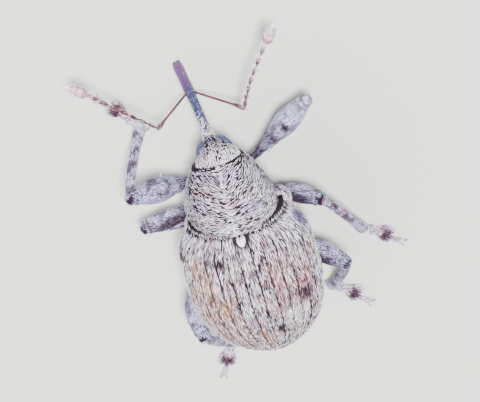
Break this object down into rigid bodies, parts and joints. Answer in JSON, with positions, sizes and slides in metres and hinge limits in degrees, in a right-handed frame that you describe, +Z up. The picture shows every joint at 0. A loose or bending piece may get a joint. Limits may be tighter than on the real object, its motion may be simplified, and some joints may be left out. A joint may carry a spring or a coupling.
{
  "type": "hazelnut weevil model",
  "caption": "Life-size still model of a long-snouted weevil standing on all its feet, with elbowed antennae, grooved wing cases and thick-thighed legs.",
  "frame": {"origin": "on the floor under the middle of the model's bounding box", "axes": "+Z up from the floor, -Y the way the body faces, +X the animal's left"},
  "size_m": [0.0088, 0.013, 0.0042],
  "materials": {
    "grey_scales": "short overlapping cream and grey scales over dark chitin",
    "belly_scales": "dense pale scales",
    "white_scales": "dense white scales",
    "eye": "smooth, finely faceted, blue-black",
    "dark_chitin": "satin blue-black chitin, scaled at the root",
    "red_brown_chitin": "satin red-brown chitin with fine pale hairs",
    "hairy_club": "short dense pale hairs over mauve chitin",
    "leg_scales": "pale lavender-grey scales over dark chitin",
    "foot_scales": "pale hairs over brown chitin"
  },
  "bodies": {
    "root": {"abdomen": "belly_scales", "antenna_left_club": "hairy_club", "antenna_left_funicle": "red_brown_chitin", "antenna_left_scape": "red_brown_chitin", "antenna_right_club": "hairy_club", "antenna_right_funicle": "red_brown_chitin", "antenna_right_scape": "red_brown_chitin", "eye_left": "eye", "eye_right": "eye", "head": "grey_scales", "hind_thorax": "belly_scales", "leg_left_front_coxa": "leg_scales", "leg_left_front_femur": "leg_scales", "leg_left_front_foot": "foot_scales", "leg_left_front_tibia": "leg_scales", "leg_left_hind_coxa": "leg_scales", "leg_left_hind_femur": "leg_scales", "leg_left_hind_foot": "foot_scales", "leg_left_hind_tibia": "leg_scales", "leg_left_mid_coxa": "leg_scales", "leg_left_mid_femur": "leg_scales", "leg_left_mid_foot": "foot_scales", "leg_left_mid_tibia": "leg_scales", "leg_right_front_coxa": "leg_scales", "leg_right_front_femur": "leg_scales", "leg_right_front_foot": "foot_scales", "leg_right_front_tibia": "leg_scales", "leg_right_hind_coxa": "leg_scales", "leg_right_hind_femur": "leg_scales", "leg_right_hind_foot": "foot_scales", "leg_right_hind_tibia": "leg_scales", "leg_right_mid_coxa": "leg_scales", "leg_right_mid_femur": "leg_scales", "leg_right_mid_foot": "foot_scales", "leg_right_mid_tibia": "leg_scales", "prothorax": "grey_scales", "scutellum": "white_scales", "snout": "dark_chitin", "wing_case_left": "grey_scales", "wing_case_right": "grey_scales"}
  },
  "joints": []
}
